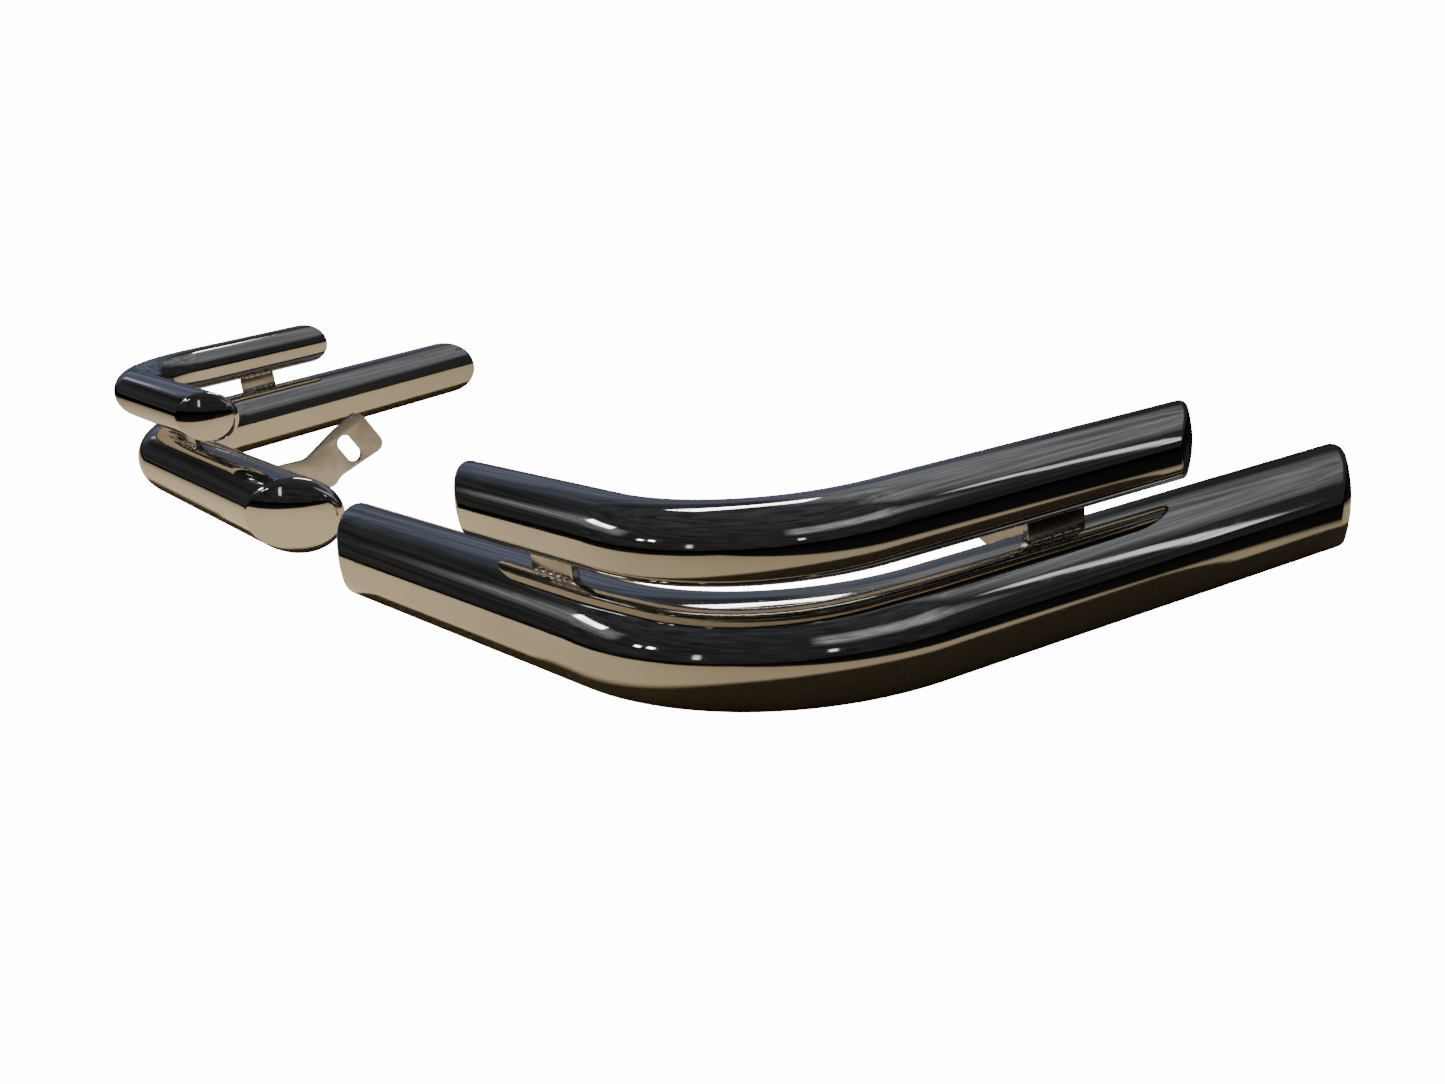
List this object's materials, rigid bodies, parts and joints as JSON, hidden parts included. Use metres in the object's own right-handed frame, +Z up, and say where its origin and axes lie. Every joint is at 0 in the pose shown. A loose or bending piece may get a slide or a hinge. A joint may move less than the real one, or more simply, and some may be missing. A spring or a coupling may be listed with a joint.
{
  "type": "bumper corner bar pair",
  "caption": "Pair of polished stainless twin-tube corner bars, each bent once, with crowned end caps, spacer plates and slotted brackets.",
  "frame": {"origin": "centre of the pair's footprint, on the ground that both lower tubes lie on", "axes": "+X towards the right bar, opposite to the direction of its short leg; +Y towards the vehicle; +Z up"},
  "size_m": [1.4248, 0.6074, 0.1447],
  "materials": {
    "polished_tube": "mirror-polished stainless steel tube",
    "polished_cap": "mirror-polished stainless steel pressing",
    "spacer_plate": "satin stainless plate",
    "bracket_plate": "satin stainless plate",
    "weld_bead": "ripple of a brushed weld"
  },
  "bodies": {
    "right_bar": {"lower_tube_right": "polished_tube", "upper_tube_right": "polished_tube", "lower_short_end_cap_right": "polished_cap", "lower_long_end_cap_right": "polished_cap", "upper_short_end_cap_right": "polished_cap", "upper_long_end_cap_right": "polished_cap", "short_leg_spacer_right": "spacer_plate", "long_leg_spacer_right": "spacer_plate", "mounting_bracket_right": "bracket_plate", "spacer_welds_right": "weld_bead", "bracket_weld_right": "weld_bead"},
    "left_bar": {"lower_tube_left": "polished_tube", "upper_tube_left": "polished_tube", "lower_short_end_cap_left": "polished_cap", "lower_long_end_cap_left": "polished_cap", "upper_short_end_cap_left": "polished_cap", "upper_long_end_cap_left": "polished_cap", "short_leg_spacer_left": "spacer_plate", "long_leg_spacer_left": "spacer_plate", "mounting_bracket_left": "bracket_plate", "spacer_welds_left": "weld_bead", "bracket_weld_left": "weld_bead"}
  },
  "joints": [
    {"name": "left_bar_spacing", "type": "slide", "parent": "right_bar", "child": "left_bar", "axis": [-1, 0, 0], "range_m": [0, 0.5]}
  ]
}
